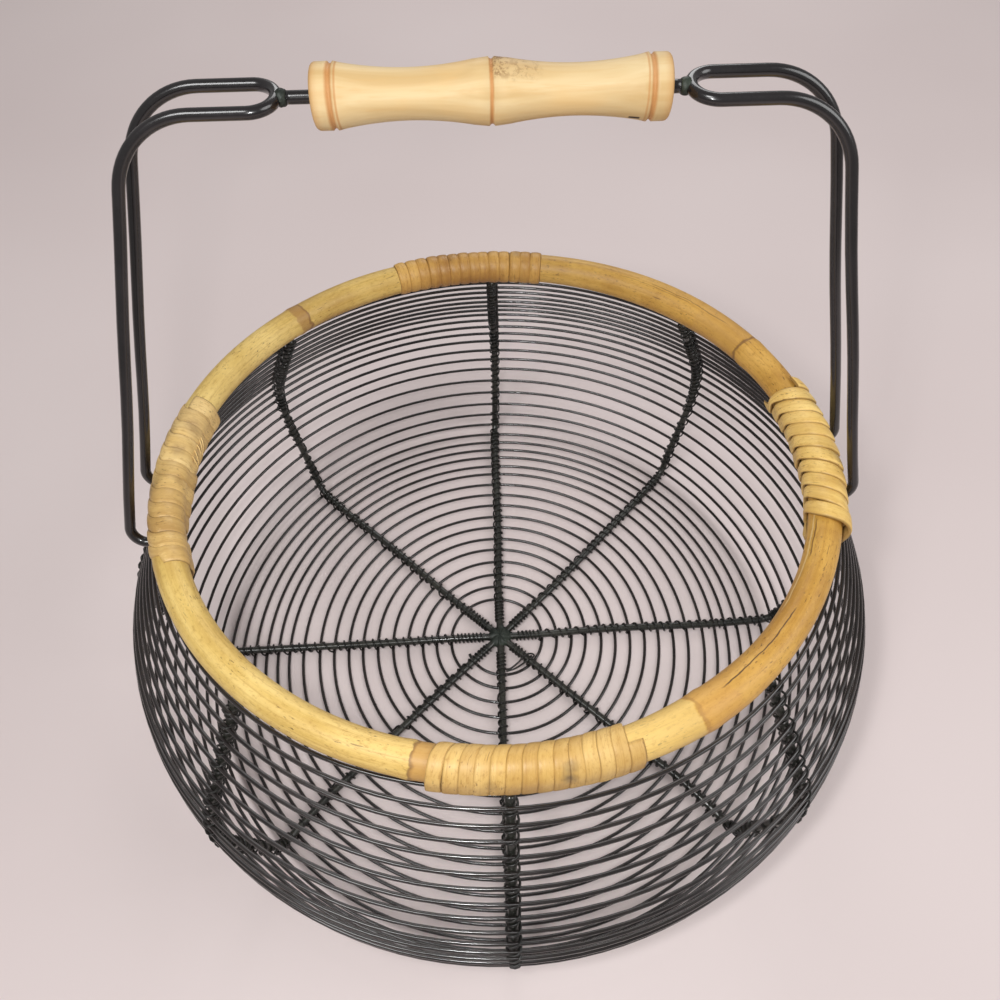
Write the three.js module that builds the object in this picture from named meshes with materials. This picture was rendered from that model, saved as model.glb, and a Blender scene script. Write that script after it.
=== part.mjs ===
// A wire basket: one long wire spiral on eight bent ribs, a cane rim bound on with cane strip,
// and a fixed wire handle whose turned wooden grip spins on its through rod.
// Millimetres. X runs along the handle, Y towards the back, Z up. The basket stands on z = 0.
import * as THREE from "three";

// Stock
const WIRE = 1.4;
const RIB = 3.4;
const ROD = 3.6;
const CANE = 11.1;
const STRIP_WIDTH = 3.5;
const STRIP_THICKNESS = 0.7;
const STRIP_GAP = 0.8;
const CLEAR = 0.3;

// Outline of the shell, from the middle of the base outwards and up to the cane
const BASE_RADIUS = 129.5;
const CORNER_RADIUS = 10.5;
const WALL_SLOPE = 75.5;
const WALL_LENGTH = 34.5;
const BELLY_RADIUS = 65;
const NECK_SLOPE = 119.3;
const RIM_HEIGHT = 143;
const OVAL = 0.0334;

// Wire spiral: distances between turns, measured along the shell
const HUB_RADIUS = 17.5;
const BASE_PITCH = 7.3;
const EDGE_START = 103;
const EDGE_PITCH = 5.9;
const WALL_PITCH = 8.1;
const NECK_PITCH = 6.6;
const TOP_SPACING = 8.2;
const END_AZIMUTH = -93;
const TUCK_ANGLE = 64;

// Ribs
const RIB_AZIMUTHS = {
  rib_right: 2,
  rib_back_right: 45.2,
  rib_back: 89.3,
  rib_back_left: 136.5,
  rib_left: 181.3,
  rib_front_left: 223.3,
  rib_front: 270.3,
  rib_front_right: 317,
};
const HUB_WELD_RADIUS = 6.2;
const HUB_WELD_HEIGHT = 4;

// Cane joints and strip windings, as azimuths on the rim
const CANE_JOINTS = [28, 133.8, 256.2, 300.5];
const JOINT_REACH = 2.2;
const JOINT_HEIGHT = 0.35;
const BACK_WRAP = [79.2, 109.5];
const FRONT_WRAP = [259.5, 289];
const LEFT_WRAP = [163.2, 200.5];
const RIGHT_WRAP = [-16.5, 20.8];
const SNUG = 0;
const EASY = 0.3;
const LOOSE = 1.1;

// Angles round the cane between which a strip steps on to its next turn, over the top and inside
const STEP_FROM = 80;
const STEP_TO = 230;
const BAR_SLACK = 0.7;

// Handle
const LEG_REACH = 12.6;
const LEG_SPREAD = 25.5;
const LEFT_BAR_PLACE = -10;
const RIGHT_BAR_PLACE = 0;
const LEG_SLOPE_IN = 14;
const HANDLE_LEAN = 16.6;
const HANDLE_HEIGHT = 260;
const STRAND_SPACING = 14.4;
const EYE_ROUNDNESS = 0.98;
const HANDLE_BEND = 24;
const FOOT_BEND = 5.2;
const GRIP_LENGTH = 96;
const GRIP_DIAMETER = 17;
const WAIST_DIAMETER = 13;
const GRIP_PLAY = 12.6;
const GRIP_SHIFT = 2.1;
const BORE_CLEARANCE = 0.45;
const GROOVE_DEPTH = 0.6;
const GROOVE_WIDTH = 1.6;
const MIDDLE_RING = 6;
const COLLAR = 4.5;
const GRIP_EDGE = 1;
const WAIST_FULLNESS = 0.8;
const WELD_DIAMETER = 6.2;
const WELD_LENGTH = 1.2;

// Fineness of the surfaces
const WIRE_SAGITTA = 0.5;
const WIDEST_STEP = 30;
const ARC_STEP = 14;
const LOOP_STEP = 18;
const RIM_STEPS = 60;
const STRIP_STEPS = 12;
const WAIST_STEPS = 6;
const WIRE_SIDES = 3;
const RIB_SIDES = 6;
const ROD_SIDES = 8;
const CANE_SIDES = 8;
const WELD_SIDES = 12;
const HUB_SIDES = 16;
const GRIP_SIDES = 24;
const SMALL_TURN = 0.01;

const rad = THREE.MathUtils.degToRad;
const TURN = 2 * Math.PI;

// Half the thickness of a many-sided rod that has the area of the round one
const evenRadius = (diameter, sides) =>
  (diameter / 2) * Math.sqrt(TURN / (sides * Math.sin(TURN / sides)));

// The wire has three sides: a flat one outside, so that the base stands flat, and a ridge inside
const wireRadius = evenRadius(WIRE, WIRE_SIDES);
const wireOut = wireRadius * Math.cos(Math.PI / WIRE_SIDES);
const wireHalf = wireRadius * Math.sin(Math.PI / WIRE_SIDES);

// Shell outline as stretches of one bend each: length, start point, start slope and curvature
function shellStretches() {
  const up = rad(WALL_SLOPE);
  const neck = rad(NECK_SLOPE);
  const parts = [
    { length: BASE_RADIUS, bend: 0 },
    { length: CORNER_RADIUS * up, bend: 1 / CORNER_RADIUS },
    { length: WALL_LENGTH, bend: 0 },
    { length: BELLY_RADIUS * (neck - up), bend: 1 / BELLY_RADIUS },
  ];
  let at = { start: 0, r: 0, z: wireOut, slope: 0 };
  for (const part of parts) {
    Object.assign(part, at);
    at = { start: part.start + part.length, ...follow(part, part.length) };
  }
  parts.push({ ...at, length: (RIM_HEIGHT - at.z) / Math.sin(neck), bend: 0 });
  return parts;
}

// The point and slope at a distance along one stretch
function follow({ r, z, slope, bend }, along) {
  if (bend === 0) {
    return { r: r + along * Math.cos(slope), z: z + along * Math.sin(slope), slope };
  }
  const turned = slope + along * bend;
  return {
    r: r + (Math.sin(turned) - Math.sin(slope)) / bend,
    z: z - (Math.cos(turned) - Math.cos(slope)) / bend,
    slope: turned,
  };
}

const STRETCHES = shellStretches();
const [, CORNER, WALL, BELLY, NECK] = STRETCHES;
const CANE_AT = NECK.start + NECK.length;

// A point of the shell at a distance from its middle, lifted outwards by some millimetres
function shell(along, azimuth, lift = 0) {
  const stretch = STRETCHES.findLast((part) => along >= part.start) ?? STRETCHES[0];
  const { r, z, slope } = follow(stretch, along - stretch.start);
  const point = place(r + lift * Math.sin(slope), z - lift * Math.cos(slope), azimuth);
  return { point, out: turned(Math.sin(slope), -Math.cos(slope), azimuth) };
}

// The plan is round at the foot and grows oval towards the rim
function place(r, z, azimuth) {
  const oval = (OVAL * z) / RIM_HEIGHT;
  return new THREE.Vector3(
    r * (1 + oval) * Math.cos(azimuth),
    r * (1 - oval) * Math.sin(azimuth),
    z,
  );
}

const turned = (r, z, azimuth) =>
  new THREE.Vector3(r * Math.cos(azimuth), r * Math.sin(azimuth), z);

// Rim centreline, and the crossbars of the handle, which hang below it
const rimPoint = (azimuth) => shell(CANE_AT, azimuth).point;
const caneHalf = evenRadius(CANE, CANE_SIDES);
const rodHalf = evenRadius(ROD, ROD_SIDES);
const BAR_DROP = caneHalf + CLEAR + rodHalf;
const BAR_HEIGHT = RIM_HEIGHT - BAR_DROP;

// Last turn of the spiral: it runs below the handle's feet, then climbs to the cane at the front
const WIRE_END_AT = CANE_AT - caneHalf - CLEAR - wireRadius;
const TUCK_AT = CANE_AT - (BAR_DROP + rodHalf + CLEAR + wireRadius) / Math.sin(rad(NECK_SLOPE));
const LEVEL_AT = WIRE_END_AT - TOP_SPACING;
const SPIRAL_ZONES = [
  { from: 0, pitch: BASE_PITCH },
  { from: EDGE_START, pitch: EDGE_PITCH },
  { from: WALL.start, pitch: WALL_PITCH },
  { from: BELLY.start, pitch: NECK_PITCH },
  { from: LEVEL_AT, pitch: ((TUCK_AT - LEVEL_AT) * 360) / (360 - TUCK_ANGLE) },
  { from: TUCK_AT, pitch: ((WIRE_END_AT - TUCK_AT) * 360) / TUCK_ANGLE },
];

// A closed skin through rings of points; each ring goes round the way of travel by the right hand
function skin(rings, ringed = false) {
  const sides = rings[0].length;
  const index = [];
  const spans = ringed ? rings.length : rings.length - 1;
  for (let i = 0; i < spans; i++) {
    const here = i * sides;
    const next = ((i + 1) % rings.length) * sides;
    for (let j = 0; j < sides; j++) {
      const k = (j + 1) % sides;
      index.push(here + j, here + k, next + k, here + j, next + k, next + j);
    }
  }
  if (!ringed) {
    const last = (rings.length - 1) * sides;
    for (let j = 1; j < sides - 1; j++) {
      index.push(0, j + 1, j, last, last + j, last + j + 1);
    }
  }
  const positions = rings.flat().flatMap((point) => point.toArray());
  const geometry = new THREE.BufferGeometry();
  geometry.setAttribute("position", new THREE.Float32BufferAttribute(positions, 3));
  geometry.setIndex(index);
  geometry.computeVertexNormals();
  return geometry;
}

// The direction of travel at each point of a path
function headings(points, ringed = false) {
  const last = points.length - 1;
  return points.map((point, i) => {
    const before = ringed ? points.at(i - 1) : points[Math.max(i - 1, 0)];
    const after = ringed ? points[(i + 1) % points.length] : points[Math.min(i + 1, last)];
    return after.clone().sub(before).normalize();
  });
}

// A many-sided ring round a point, square to the travel, with a corner or a side towards "up"
function ringOf(point, travel, up, radius, sides, flat = false) {
  const v = up.clone().addScaledVector(travel, -up.dot(travel)).normalize();
  const u = v.clone().cross(travel);
  const first = Math.PI / 2 + (flat ? Math.PI / sides : 0);
  return Array.from({ length: sides }, (_, j) => {
    const angle = first + (TURN * j) / sides;
    return point
      .clone()
      .addScaledVector(u, radius * Math.cos(angle))
      .addScaledVector(v, radius * Math.sin(angle));
  });
}

// Spiral samples, worked back from the wire's end at the front
function spiralSamples() {
  const samples = [];
  let along = WIRE_END_AT;
  let azimuth = rad(END_AZIMUTH);
  while (along > HUB_RADIUS) {
    samples.push({ along, azimuth, ...shell(along, azimuth) });
    const r = Math.hypot(samples.at(-1).point.x, samples.at(-1).point.y);
    const step = Math.min(2 * Math.acos(1 - WIRE_SAGITTA / r), rad(WIDEST_STEP));
    const zone = SPIRAL_ZONES.findLast(({ from }) => along > from);
    azimuth -= step;
    along -= (zone.pitch * step) / TURN;
  }
  return samples.reverse();
}

function wireSkin(samples) {
  const points = samples.map(({ point }) => point);
  const travel = headings(points);
  return skin(
    samples.map(({ point, out }, i) => ringOf(point, travel[i], out, wireRadius, WIRE_SIDES, true)),
  );
}

// The one wire is cut where it turns up, with a small gap between the two pieces
function spiralPieces() {
  const samples = spiralSamples();
  const cut = samples.findIndex(({ along }) => along >= CORNER.start);
  const after = samples[cut];
  const before = samples[cut - 1];
  const part = 1 - CLEAR / before.point.distanceTo(after.point);
  const end = { point: before.point.clone().lerp(after.point, part), out: before.out };
  return [wireSkin([...samples.slice(0, cut), end]), wireSkin(samples.slice(cut))];
}

// Ribs lie inside the wires, clear of the straight steps between the wires' samples
const ribRadius = evenRadius(RIB, RIB_SIDES);
const RIB_LIFT = -(wireRadius + CLEAR + WIRE_SAGITTA + ribRadius * Math.cos(Math.PI / RIB_SIDES));
const RIB_TOP_AT = CANE_AT - (BAR_DROP + rodHalf + 3 * CLEAR + STRIP_THICKNESS + ribRadius / 2);

// Distances along the shell that follow its bends: stretch ends, and steps inside the bends
function bendStops(from, to) {
  const stops = [from];
  for (const { start, length, bend } of STRETCHES) {
    const steps = bend === 0 ? 1 : Math.ceil((bend * length) / rad(ARC_STEP));
    for (let i = 0; i < steps; i++) {
      stops.push(start + (length * i) / steps);
    }
  }
  stops.push(to);
  return stops.filter((stop) => stop >= from && stop <= to);
}

function ribSkin(azimuth) {
  const stops = bendStops(HUB_WELD_RADIUS + CLEAR, RIB_TOP_AT);
  const lifted = stops.map((stop) => shell(stop, azimuth, RIB_LIFT));
  const travel = headings(lifted.map(({ point }) => point));
  return skin(
    lifted.map(({ point, out }, i) => ringOf(point, travel[i], out, ribRadius, RIB_SIDES, true)),
  );
}

// Weld at the hub, a low mound that the ribs' inner ends meet
function hubWeld() {
  const low = wireOut + wireRadius + CLEAR;
  const mound = (widthShare, heightShare) => {
    return new THREE.Vector2(HUB_WELD_RADIUS * widthShare, low + HUB_WELD_HEIGHT * heightShare);
  };
  const outline = [
    mound(0, 0),
    mound(0.85, 0),
    mound(1, 0.3),
    mound(0.9, 0.75),
    mound(0.5, 1),
    mound(0, 1),
  ];
  return new THREE.LatheGeometry(outline, HUB_SIDES).rotateX(Math.PI / 2);
}

// The cane: a closed oval hoop with a low ridge round each of its joints
function rimSkin() {
  const even = Array.from({ length: RIM_STEPS }, (_, i) => (360 * i) / RIM_STEPS);
  const plain = even.filter((at) => CANE_JOINTS.every((joint) => Math.abs(at - joint) > JOINT_REACH));
  const stops = plain.map((at) => ({ at, swell: 0 }));
  for (const joint of CANE_JOINTS) {
    stops.push({ at: joint - JOINT_REACH, swell: 0 });
    stops.push({ at: joint, swell: JOINT_HEIGHT });
    stops.push({ at: joint + JOINT_REACH, swell: 0 });
  }
  stops.sort((one, other) => one.at - other.at);
  const points = stops.map(({ at }) => rimPoint(rad(at)));
  const travel = headings(points, true);
  const up = new THREE.Vector3(0, 0, 1);
  const rings = stops.map(({ swell }, i) => {
    return ringOf(points[i], travel[i], up, caneHalf + swell, CANE_SIDES, true);
  });
  return skin(rings, true);
}

// The azimuths at which a strip lies square across the rim: evenly between the winding's ends,
// but for wider steps past the handle's feet, which lie at distances along the rim from "middle"
function stripPlaces([from, to], middle, feet) {
  const reach = rodHalf + CLEAR + STRIP_WIDTH / 2;
  const inner = reach + FOOT_BEND / 2;
  const speed = rimPoint(middle).distanceTo(rimPoint(middle + SMALL_TURN)) / SMALL_TURN;
  const low = (rad(from) - middle) * speed + STRIP_WIDTH / 2;
  const high = (rad(to) - middle) * speed - STRIP_WIDTH / 2;
  const [first, second] = feet;
  const gates = feet.length ? [first - reach, first + inner, second - inner, second + reach] : [];
  const edges = [low, ...gates, high];
  const places = [];
  for (let i = 0; i < edges.length; i += 2) {
    const span = edges[i + 1] - edges[i];
    const count = Math.floor(span / (STRIP_WIDTH + STRIP_GAP));
    for (let k = 0; k <= count; k++) {
      places.push(middle + (edges[i] + (count ? (span * k) / count : span / 2)) / speed);
    }
  }
  return places;
}

// One strip wound round the cane and what it holds below: square outside, stepping on inside
const stripRadius = (held) => (held + CLEAR + STRIP_THICKNESS / 2) / Math.cos(Math.PI / STRIP_STEPS);

function stripPath(places, held, heldRadius, looseness) {
  const path = [];
  for (let turn = 0; turn < places.length; turn++) {
    for (let step = 0; step < STRIP_STEPS; step++) {
      const angle = STEP_TO + (360 * step) / STRIP_STEPS;
      const moved = (angle - 360 - STEP_FROM) / (STEP_TO - STEP_FROM);
      if (turn === places.length - 1 && moved > 0) {
        break;
      }
      const next = places[Math.min(turn + 1, places.length - 1)];
      const azimuth = THREE.MathUtils.lerp(places[turn], next, Math.max(moved, 0));
      path.push(stripPoint(azimuth, rad(angle), held, heldRadius, looseness));
    }
  }
  return path;
}

// A point of the winding's outline at one angle: it touches the cane or, further out, what is held
function stripPoint(azimuth, angle, held, heldRadius, looseness) {
  const centre = rimPoint(azimuth);
  const ahead = rimPoint(azimuth + SMALL_TURN);
  const along = ahead.sub(rimPoint(azimuth - SMALL_TURN)).normalize();
  const across = new THREE.Vector3(along.y, -along.x, 0);
  const normal = across.clone().multiplyScalar(Math.cos(angle));
  normal.z = Math.sin(angle);
  const low = held(azimuth);
  const caneReach = stripRadius(caneHalf + looseness);
  const heldReach = stripRadius(heldRadius);
  const reached = low.clone().sub(centre).dot(normal) + heldReach;
  const point = reached > caneReach ? low : centre;
  const radius = reached > caneReach ? heldReach : caneReach;
  return { point: point.clone().addScaledVector(normal, radius), along, normal };
}

function stripSkin(path) {
  const rings = path.map(({ point, along, normal }) => {
    const side = along.clone().multiplyScalar(STRIP_WIDTH / 2);
    const thick = normal.clone().multiplyScalar(STRIP_THICKNESS / 2);
    return [
      point.clone().sub(side).sub(thick),
      point.clone().sub(side).add(thick),
      point.clone().add(side).add(thick),
      point.clone().add(side).sub(thick),
    ];
  });
  return skin(rings);
}

// The least gap between strips of neighbouring turns, measured on the path's points
function leastGap(path) {
  let least = Infinity;
  for (let i = 0; i < path.length; i++) {
    for (let j = i + STRIP_STEPS / 2; j < path.length; j++) {
      least = Math.min(least, path[i].point.distanceTo(path[j].point));
    }
  }
  return least - STRIP_WIDTH;
}

// A path with its corners rounded to arcs
function roundedLoop(corners) {
  const points = [];
  corners.forEach(({ at, bend }, i) => {
    const back = corners.at(i - 1).at.clone().sub(at).normalize();
    const on = corners[(i + 1) % corners.length].at.clone().sub(at).normalize();
    const half = back.angleTo(on) / 2;
    const middle = back.clone().add(on).normalize();
    const centre = at.clone().addScaledVector(middle, bend / Math.sin(half));
    const from = at.clone().addScaledVector(back, bend / Math.tan(half)).sub(centre);
    const axis = back.clone().cross(on).normalize();
    const sweep = Math.PI - 2 * half;
    const steps = Math.ceil(sweep / rad(LOOP_STEP));
    for (let k = 0; k <= steps; k++) {
      points.push(from.clone().applyAxisAngle(axis, (-sweep * k) / steps).add(centre));
    }
  });
  return points;
}

// Handle places: the crossbars under the cane, the grip's axis and the two strands above
const barPlace = (side) => (side < 0 ? LEFT_BAR_PLACE : RIGHT_BAR_PLACE);
const rimX = (y) => rimPoint(Math.asin(y / rimPoint(Math.PI / 2).y)).x;
const barX = (place) => (rimX(place) + rimX(Math.abs(place) + LEG_SPREAD / 2)) / 2;
const legRise = HANDLE_HEIGHT - BAR_HEIGHT;
const handleY = legRise * Math.tan(rad(HANDLE_LEAN));
const legX = rimPoint(0).x + LEG_REACH;
const shoulderX = legX - legRise * Math.tan(rad(LEG_SLOPE_IN));
const eyeX = (GRIP_LENGTH + GRIP_PLAY + ROD) / 2;

function loopCorners(side) {
  const place = barPlace(side);
  const front = place - LEG_SPREAD / 2;
  const back = place + LEG_SPREAD / 2;
  const strand = STRAND_SPACING / 2;
  const corner = (x, y, z, bend) => ({ at: new THREE.Vector3(side * x, y, z), bend });
  return [
    corner(eyeX, handleY - strand, HANDLE_HEIGHT, strand * EYE_ROUNDNESS),
    corner(shoulderX, handleY - strand, HANDLE_HEIGHT, HANDLE_BEND),
    corner(legX, front, BAR_HEIGHT, FOOT_BEND),
    corner(barX(place), front, BAR_HEIGHT, FOOT_BEND),
    corner(barX(place), back, BAR_HEIGHT, FOOT_BEND),
    corner(legX, back, BAR_HEIGHT, FOOT_BEND),
    corner(shoulderX, handleY + strand, HANDLE_HEIGHT, HANDLE_BEND),
    corner(eyeX, handleY + strand, HANDLE_HEIGHT, strand * EYE_ROUNDNESS),
  ];
}

// Rings carried along a closed path with as little twist as can be, the rest shared out evenly
function loopSkin(corners) {
  const points = roundedLoop(corners);
  const travel = headings(points, true);
  const ups = [new THREE.Vector3(0, 0, 1).projectOnPlane(travel[0]).normalize()];
  const carried = new THREE.Quaternion();
  for (let i = 1; i <= points.length; i++) {
    carried.setFromUnitVectors(travel[i - 1], travel[i % points.length]);
    ups.push(ups[i - 1].clone().applyQuaternion(carried));
  }
  const end = ups.pop();
  const sign = Math.sign(ups[0].clone().cross(end).dot(travel[0]));
  const twist = -sign * ups[0].angleTo(end);
  const rings = points.map((point, i) => {
    const up = ups[i].applyAxisAngle(travel[i], (twist * i) / points.length);
    return ringOf(point, travel[i], up, rodHalf, ROD_SIDES, true);
  });
  return skin(rings, true);
}

// A turned piece on the grip's axis, from an outline of places along X and radii
function turnedPiece(outline, sides, closed) {
  const points = outline.map(([x, r]) => new THREE.Vector2(r, x));
  if (closed) {
    points.push(points[0].clone());
  }
  const geometry = new THREE.LatheGeometry(points, sides);
  geometry.rotateZ(-Math.PI / 2);
  return geometry.translate(0, handleY, HANDLE_HEIGHT);
}

const rodHalfLength = eyeX - rodHalf - CLEAR;

function gripRod() {
  const radius = evenRadius(ROD, GRIP_SIDES);
  const outline = [
    [-rodHalfLength, 0],
    [-rodHalfLength, radius],
    [rodHalfLength, radius],
    [rodHalfLength, 0],
  ];
  return turnedPiece(outline, GRIP_SIDES, false);
}

function rodWeld(side) {
  const inner = evenRadius(ROD, GRIP_SIDES) + CLEAR;
  const outer = WELD_DIAMETER / 2;
  const far = rodHalfLength;
  const near = far - WELD_LENGTH;
  const outline = [
    [near, inner],
    [near, (inner + outer) / 2],
    [(near + far) / 2, outer],
    [far, outer],
    [far, inner],
  ];
  const facing = side > 0 ? outline : outline.map(([x, r]) => [-x, r]).reverse();
  return turnedPiece(facing, WELD_SIDES, true);
}

// Grip: two waists between a grooved middle and two grooved ends, bored through
function gripHalfOutline() {
  const half = GRIP_LENGTH / 2;
  const full = GRIP_DIAMETER / 2;
  const waist = WAIST_DIAMETER / 2;
  const groove = (x) => [
    [x, full],
    [x + GROOVE_WIDTH / 2, full - GROOVE_DEPTH],
    [x + GROOVE_WIDTH, full],
  ];
  const from = MIDDLE_RING / 2;
  const to = half - COLLAR - GROOVE_WIDTH;
  const curve = [];
  for (let i = 1; i < WAIST_STEPS; i++) {
    const part = i / WAIST_STEPS;
    const hollow = Math.sin(Math.PI * part) ** WAIST_FULLNESS;
    curve.push([THREE.MathUtils.lerp(from, to, part), full - (full - waist) * hollow]);
  }
  const edge = [
    [half - GRIP_EDGE, full],
    [half, full - GRIP_EDGE],
  ];
  return [[GROOVE_WIDTH / 2, full], [from, full], ...curve, ...groove(to), ...edge];
}

function gripSkin() {
  const bore = ROD / 2 + BORE_CLEARANCE;
  const half = GRIP_LENGTH / 2;
  const right = gripHalfOutline();
  const left = right.map(([x, r]) => [-x, r]).reverse();
  const middle = [0, GRIP_DIAMETER / 2 - GROOVE_DEPTH];
  const outline = [[-half, bore], ...left, middle, ...right, [half, bore]];
  return turnedPiece(outline.map(([x, r]) => [x + GRIP_SHIFT, r]), GRIP_SIDES, true);
}

// Materials
const steel = { color: 0x2e332f, roughness: 0.45, metalness: 0.7 };
const darkRod = { color: 0x30363a, roughness: 0.35, metalness: 0.8 };
const cane = { color: 0xd2a45c, roughness: 0.55, metalness: 0 };
const strip = { color: 0xdbb36c, roughness: 0.6, metalness: 0 };
const paleWood = { color: 0xe6c78f, roughness: 0.6, metalness: 0 };

const basket = new THREE.Group();
basket.name = "wire_basket";

function add(name, geometry, look) {
  const mesh = new THREE.Mesh(geometry, new THREE.MeshStandardMaterial(look));
  mesh.name = name;
  basket.add(mesh);
}

const [baseSpiral, wallSpiral] = spiralPieces();
add("base_spiral", baseSpiral, steel);
add("wall_spiral", wallSpiral, steel);
for (const [name, azimuth] of Object.entries(RIB_AZIMUTHS)) {
  add(name, ribSkin(rad(azimuth)), steel);
}
add("hub_weld", hubWeld(), steel);
add("rim_cane", rimSkin(), cane);

// What each winding holds under the cane: a crossbar of the handle, the wire's end, or nothing
const barUnder = (side) => (azimuth) => {
  const under = rimPoint(azimuth).setZ(BAR_HEIGHT);
  const place = barPlace(side);
  const isBar = Math.abs(under.y - place) < LEG_SPREAD / 2 + STRIP_WIDTH;
  return isBar ? under.setX(side * barX(place)) : under;
};
const wireUnder = (azimuth) => shell(WIRE_END_AT, azimuth).point;
const feet = (side) => [-LEG_SPREAD / 2, LEG_SPREAD / 2].map((foot) => side * barPlace(side) + foot);
const wraps = [
  ["wrap_back", BACK_WRAP, Math.PI / 2, [], rimPoint, 0, EASY],
  ["wrap_front", FRONT_WRAP, 1.5 * Math.PI, [], wireUnder, wireRadius, EASY],
  ["wrap_left", LEFT_WRAP, Math.PI, feet(-1), barUnder(-1), rodHalf + BAR_SLACK, SNUG],
  ["wrap_right", RIGHT_WRAP, 0, feet(1), barUnder(1), rodHalf + BAR_SLACK, LOOSE],
];
for (const [name, range, middle, gates, held, heldRadius, looseness] of wraps) {
  const places = stripPlaces(range, middle, gates);
  const path = stripPath(places, held, heldRadius, looseness);
  console.log(name, places.length, "turns, least gap", leastGap(path).toFixed(2), "mm");
  add(name, stripSkin(path), strip);
}

add("handle_loop_left", loopSkin(loopCorners(-1)), darkRod);
add("handle_loop_right", loopSkin(loopCorners(1)), darkRod);
add("grip_rod", gripRod(), darkRod);
add("weld_left", rodWeld(-1), darkRod);
add("weld_right", rodWeld(1), darkRod);
add("grip", gripSkin(), paleWood);

export default basket;
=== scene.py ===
"""Looks of a wire basket: a wire spiral on eight ribs, a cane rim bound with cane strip,
and a wire handle with a turned wooden grip. Shapes are worked out in millimetres."""
import math
import random

import bpy
import numpy as np
from mathutils import Matrix, Vector


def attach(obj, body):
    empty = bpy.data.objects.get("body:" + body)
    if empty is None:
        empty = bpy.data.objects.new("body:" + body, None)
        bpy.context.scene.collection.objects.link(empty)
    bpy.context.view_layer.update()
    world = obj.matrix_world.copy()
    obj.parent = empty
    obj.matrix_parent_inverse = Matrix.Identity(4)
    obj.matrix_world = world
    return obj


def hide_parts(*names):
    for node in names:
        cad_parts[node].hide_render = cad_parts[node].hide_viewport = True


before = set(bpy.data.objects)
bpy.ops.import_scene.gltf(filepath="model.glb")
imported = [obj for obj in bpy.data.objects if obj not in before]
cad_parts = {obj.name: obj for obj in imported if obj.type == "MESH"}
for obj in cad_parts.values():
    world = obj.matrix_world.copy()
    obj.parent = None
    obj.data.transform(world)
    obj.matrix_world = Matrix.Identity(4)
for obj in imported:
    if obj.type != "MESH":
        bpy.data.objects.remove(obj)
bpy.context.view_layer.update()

MM = 0.001
TURN = 2 * math.pi
SMALL_TURN = 0.01
UP = np.array([0, 0, 1])
rad = math.radians

# Stock
WIRE = 1.4
RIB = 3.4
LASHING = 0.85
ROD = 3.6
CANE = 11.1
STRIP_WIDTH = 3.5
STRIP_GAP = 0.8
STRIP_THICKNESS = 0.7
CLEAR = 0.3

# Outline of the shell
BASE_RADIUS = 129.5
CORNER_RADIUS = 10.5
WALL_SLOPE = 75.5
WALL_LENGTH = 34.5
BELLY_RADIUS = 65
NECK_SLOPE = 119.3
RIM_HEIGHT = 143
OVAL = 0.0334

# Spiral: distances between turns, measured along the shell
HUB_RADIUS = 17.5
BASE_PITCH = 7.3
EDGE_START = 103
EDGE_PITCH = 5.9
WALL_PITCH = 8.1
NECK_PITCH = 6.6
TOP_SPACING = 8.2
END_AZIMUTH = -93
TUCK_ANGLE = 64

RIB_AZIMUTHS = {
    "rib_right": 2,
    "rib_back_right": 45.2,
    "rib_back": 89.3,
    "rib_back_left": 136.5,
    "rib_left": 181.3,
    "rib_front_left": 223.3,
    "rib_front": 270.3,
    "rib_front_right": 317,
}
HUB_WELD_RADIUS = 6.2

# Handle
LEG_REACH = 12.6
LEG_SPREAD = 25.5
LEFT_BAR_PLACE = -10
RIGHT_BAR_PLACE = 0
LEG_SLOPE_IN = 14
HANDLE_LEAN = 16.6
HANDLE_HEIGHT = 260
STRAND_SPACING = 14.4
EYE_ROUNDNESS = 0.98
HANDLE_BEND = 24
FOOT_BEND = 5.2
GRIP_LENGTH = 96
GRIP_DIAMETER = 17
WAIST_DIAMETER = 13
GRIP_PLAY = 12.6
GRIP_SHIFT = 2.1
BORE_CLEARANCE = 0.45
GROOVE_DEPTH = 0.6
GROOVE_WIDTH = 1.6
MIDDLE_RING = 6
COLLAR = 4.5


def even_radius(diameter, sides):
    """The radius of a many-sided rod that has the area of the round one."""
    return diameter / 2 * math.sqrt(TURN / (sides * math.sin(TURN / sides)))


# Radii of the solids' many-sided rods, which set what lies clear of what
WIRE_RADIUS = even_radius(WIRE, 3)
WIRE_OUT = WIRE_RADIUS * math.cos(math.pi / 3)
CANE_HALF = even_radius(CANE, 8)
ROD_HALF = even_radius(ROD, 8)


# Shell


def follow(stretch, along):
    """The point and slope at a distance along one stretch of the outline."""
    r, z, slope, bend = stretch["r"], stretch["z"], stretch["slope"], stretch["bend"]
    if bend == 0:
        return r + along * math.cos(slope), z + along * math.sin(slope), slope
    turned = slope + along * bend
    return (
        r + (math.sin(turned) - math.sin(slope)) / bend,
        z - (math.cos(turned) - math.cos(slope)) / bend,
        turned,
    )


def shell_stretches():
    """The outline from the middle of the base to the cane, as stretches of one bend each."""
    up, neck = rad(WALL_SLOPE), rad(NECK_SLOPE)
    parts = [
        {"length": BASE_RADIUS, "bend": 0},
        {"length": CORNER_RADIUS * up, "bend": 1 / CORNER_RADIUS},
        {"length": WALL_LENGTH, "bend": 0},
        {"length": BELLY_RADIUS * (neck - up), "bend": 1 / BELLY_RADIUS},
    ]
    start, r, z, slope = 0, 0, WIRE_OUT, 0
    for part in parts:
        part.update(start=start, r=r, z=z, slope=slope)
        start += part["length"]
        r, z, slope = follow(part, part["length"])
    parts.append({"start": start, "r": r, "z": z, "slope": slope, "bend": 0,
                  "length": (RIM_HEIGHT - z) / math.sin(neck)})
    return parts


STRETCHES = shell_stretches()
WALL, BELLY, NECK = STRETCHES[2:]
CANE_AT = NECK["start"] + NECK["length"]


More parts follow.
